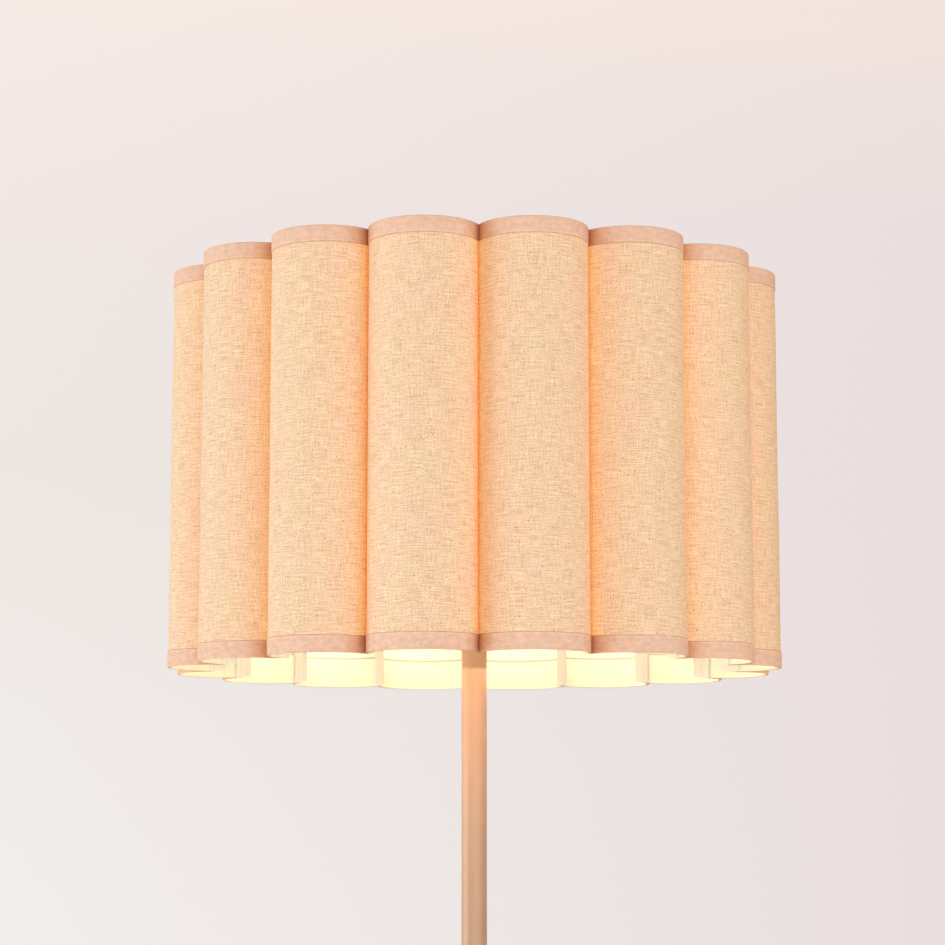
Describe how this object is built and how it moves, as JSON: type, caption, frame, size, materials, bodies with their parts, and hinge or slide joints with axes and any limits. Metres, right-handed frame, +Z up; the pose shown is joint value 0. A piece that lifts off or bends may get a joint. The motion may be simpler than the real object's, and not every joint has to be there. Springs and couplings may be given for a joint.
{
  "type": "pleated shade floor lamp",
  "caption": "Floor lamp with a drum shade of deep scalloped linen flutes on a slim champagne metal pole.",
  "frame": {"origin": "centre of the underside of the base, on the floor", "axes": "+Z up along the pole, -Y towards the front, where the lampholder's switch is"},
  "size_m": [0.4548, 0.4548, 1.5342],
  "materials": {
    "linen": "slubby natural linen",
    "trim_tape": "smooth woven tape",
    "frame_wire": "white enamel",
    "champagne_metal": "satin champagne brass plate",
    "base_cover_metal": "satin champagne brass plate",
    "cast_weight": "black primer",
    "felt": "black felt",
    "black_rubber": "moulded",
    "zinc_steel": "zinc plated",
    "lampholder_brass": "thin pressed brass",
    "card_liner": "vulcanised fibre",
    "phenolic": "moulded phenolic",
    "knob_plastic": "moulded",
    "bulb_metal": "pressed",
    "bulb_plastic": "white moulded",
    "bulb_frosted": "frosted white"
  },
  "bodies": {
    "shade": {"shade_panels": "linen", "top_trim": "trim_tape", "bottom_trim": "trim_tape", "top_ring": "frame_wire", "bottom_ring": "frame_wire", "shade_spider": "frame_wire"},
    "finial_knob": {"finial": "champagne_metal"},
    "switch": {"switch_shaft": "zinc_steel", "switch_knob": "knob_plastic"},
    "bulb": {"bulb_cap": "bulb_metal", "bulb_housing": "bulb_plastic", "bulb_globe": "bulb_frosted"},
    "sleeve_left": {"harp_sleeve_left": "champagne_metal"},
    "sleeve_right": {"harp_sleeve_right": "champagne_metal"},
    "lamp_stand": {"harp_loop": "champagne_metal", "harp_stud": "zinc_steel", "harp_saddle": "champagne_metal", "socket_cap": "lampholder_brass", "socket_shell": "lampholder_brass", "socket_liner": "card_liner", "socket_core": "phenolic", "screw_shell": "lampholder_brass", "centre_contact": "lampholder_brass", "neck_cap": "champagne_metal", "pole_upper": "champagne_metal", "pole_middle": "champagne_metal", "pole_lower": "champagne_metal", "pole_couplers": "zinc_steel", "pole_inserts": "zinc_steel", "threaded_nipples": "zinc_steel", "lock_nuts": "zinc_steel", "foot_washer": "zinc_steel", "base_collar": "champagne_metal", "base_cover": "base_cover_metal", "base_weight": "cast_weight", "cord_grommet": "black_rubber", "felt_pad": "felt"}
  },
  "joints": [
    {"name": "shade_swivel", "type": "hinge", "parent": "lamp_stand", "child": "shade", "pos_m": [0, 0, 1.507], "axis": [0, 0, 1], "continuous": true},
    {"name": "finial_turn", "type": "hinge", "parent": "lamp_stand", "child": "finial_knob", "pos_m": [0, 0, 1.5092], "axis": [0, 0, 1], "continuous": true},
    {"name": "switch_turn", "type": "hinge", "parent": "lamp_stand", "child": "switch", "pos_m": [0, 0, 1.3048], "axis": [0, -1, 0], "continuous": true},
    {"name": "bulb_turn", "type": "hinge", "parent": "lamp_stand", "child": "bulb", "pos_m": [0, 0, 1.34], "axis": [0, 0, 1], "continuous": true},
    {"name": "sleeve_left_slide", "type": "slide", "parent": "lamp_stand", "child": "sleeve_left", "axis": [0, 0, 1], "range_m": [0, 0.016]},
    {"name": "sleeve_right_slide", "type": "slide", "parent": "lamp_stand", "child": "sleeve_right", "axis": [0, 0, 1], "range_m": [0, 0.016]}
  ]
}
